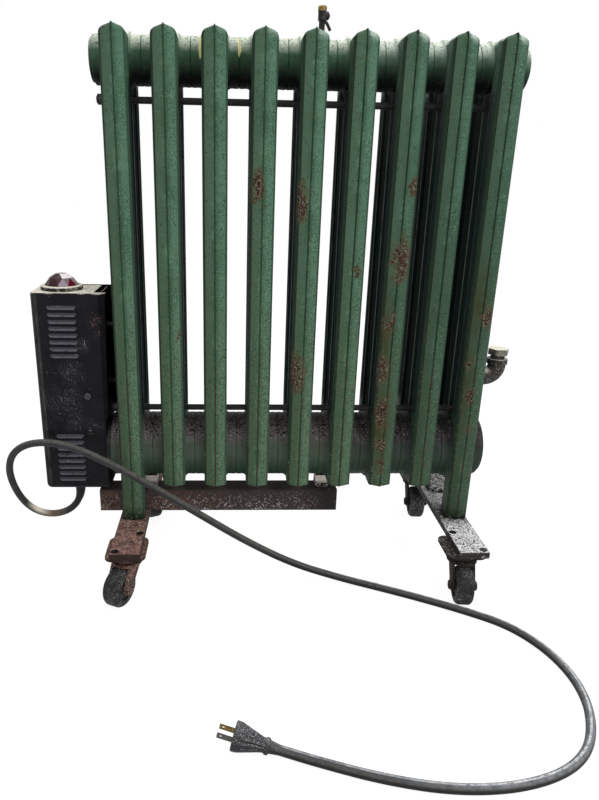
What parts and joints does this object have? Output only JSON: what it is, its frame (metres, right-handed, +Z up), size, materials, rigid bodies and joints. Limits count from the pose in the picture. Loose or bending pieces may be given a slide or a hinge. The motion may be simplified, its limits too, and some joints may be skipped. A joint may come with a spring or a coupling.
{
  "type": "electric steam radiator",
  "caption": "Vintage electric steam radiator: green cast-iron tube sections on swivel casters, with a louvred control box, red pilot light, air cock, fill elbow and a plugged power cord.",
  "frame": {"origin": "on the floor, midway between the foot bars, under the middle of the section in the middle of the row", "axes": "+X along the row of sections towards the fill elbow, +Y from the front to the rear, +Z up"},
  "size_m": [0.7852, 0.6505, 0.8073],
  "materials": {
    "green_cast_iron": "worn satin paint over rough casting",
    "bare_cast_iron": "rough, dark",
    "dark_steel": "blackened, oily",
    "brass": "tarnished",
    "element_sheath": "drawn tube",
    "rusty_steel": "rusted and pitted",
    "dusty_steel": "pale with dust and old paint",
    "black_sheet": "scratched black enamel",
    "dusty_sheet": "black enamel under cream dust",
    "red_glass": "moulded facets",
    "brown_plastic": "moulded, glossy",
    "wheel_rubber": "worn, matt",
    "cord_rubber": "dusty, matt"
  },
  "bodies": {
    "radiator": {"section_1": "green_cast_iron", "section_2": "green_cast_iron", "section_3": "green_cast_iron", "section_4": "green_cast_iron", "section_5": "green_cast_iron", "section_6": "green_cast_iron", "section_7": "green_cast_iron", "section_8": "green_cast_iron", "section_9": "green_cast_iron", "upper_end_plugs": "green_cast_iron", "lower_end_plug": "green_cast_iron", "upper_push_nipples": "bare_cast_iron", "lower_push_nipples": "bare_cast_iron", "fill_nipple": "bare_cast_iron", "fill_elbow": "bare_cast_iron", "fill_plug": "bare_cast_iron", "heater_head": "bare_cast_iron", "upper_tie_rod": "dark_steel", "lower_tie_rod": "dark_steel", "tie_rod_nuts": "dark_steel", "rail_bolts": "dark_steel", "leg_bolts": "dark_steel", "caster_bolts": "dark_steel", "caster_king_pins": "dark_steel", "heater_lock_nut": "dark_steel", "cover_screws": "dark_steel", "box_studs": "dark_steel", "air_cock_body": "dark_steel", "air_cock_cap": "brass", "jewel_bezel": "brass", "plug_blades": "brass", "heater_element": "element_sheath", "support_rail": "rusty_steel", "left_foot_bar": "rusty_steel", "caster_plates": "rusty_steel", "right_foot_bar": "dusty_steel", "rail_blocks": "dusty_steel", "control_cover": "black_sheet", "control_chassis": "black_sheet", "control_top": "dusty_sheet", "pilot_jewel": "red_glass", "pilot_lamp": "brown_plastic", "pressure_switch": "brown_plastic", "terminal_block": "brown_plastic", "cord_gland": "cord_rubber", "power_cord": "cord_rubber", "plug_body": "cord_rubber"},
    "caster_swivel_front_left": {"caster_fork_front_left": "rusty_steel", "caster_axle_front_left": "rusty_steel"},
    "caster_roll_front_left": {"caster_wheel_front_left": "wheel_rubber"},
    "caster_swivel_front_right": {"caster_fork_front_right": "rusty_steel", "caster_axle_front_right": "rusty_steel"},
    "caster_roll_front_right": {"caster_wheel_front_right": "wheel_rubber"},
    "caster_swivel_rear_left": {"caster_fork_rear_left": "rusty_steel", "caster_axle_rear_left": "rusty_steel"},
    "caster_roll_rear_left": {"caster_wheel_rear_left": "wheel_rubber"},
    "caster_swivel_rear_right": {"caster_fork_rear_right": "rusty_steel", "caster_axle_rear_right": "rusty_steel"},
    "caster_roll_rear_right": {"caster_wheel_rear_right": "wheel_rubber"},
    "cock_key": {"air_cock_key": "dark_steel"}
  },
  "joints": [
    {"name": "caster_swivel_front_left", "type": "hinge", "parent": "radiator", "child": "caster_swivel_front_left", "pos_m": [-0.255, -0.134, 0], "axis": [0, 0, 1], "continuous": true},
    {"name": "caster_roll_front_left", "type": "hinge", "parent": "caster_swivel_front_left", "child": "caster_roll_front_left", "pos_m": [-0.26464, -0.15377, 0.028], "axis": [0.8988, -0.4384, 0], "continuous": true},
    {"name": "caster_swivel_front_right", "type": "hinge", "parent": "radiator", "child": "caster_swivel_front_right", "pos_m": [0.242, -0.134, 0], "axis": [0, 0, 1], "continuous": true},
    {"name": "caster_roll_front_right", "type": "hinge", "parent": "caster_swivel_front_right", "child": "caster_roll_front_right", "pos_m": [0.2397, -0.15588, 0.028], "axis": [0.9945, -0.1045, 0], "continuous": true},
    {"name": "caster_swivel_rear_left", "type": "hinge", "parent": "radiator", "child": "caster_swivel_rear_left", "pos_m": [-0.255, 0.134, 0], "axis": [0, 0, 1], "continuous": true},
    {"name": "caster_roll_rear_left", "type": "hinge", "parent": "caster_swivel_rear_left", "child": "caster_roll_rear_left", "pos_m": [-0.2457, 0.11406, 0.028], "axis": [0.9063, 0.4226, 0], "continuous": true},
    {"name": "caster_swivel_rear_right", "type": "hinge", "parent": "radiator", "child": "caster_swivel_rear_right", "pos_m": [0.242, 0.134, 0], "axis": [0, 0, 1], "continuous": true},
    {"name": "caster_roll_rear_right", "type": "hinge", "parent": "caster_swivel_rear_right", "child": "caster_roll_rear_right", "pos_m": [0.24047, 0.11205, 0.028], "axis": [0.9976, -0.0698, 0], "continuous": true},
    {"name": "air_cock_key", "type": "hinge", "parent": "radiator", "child": "cock_key", "pos_m": [0.019, 0, 0.7955], "axis": [1, 0, 0], "range_deg": [0, 90]}
  ]
}
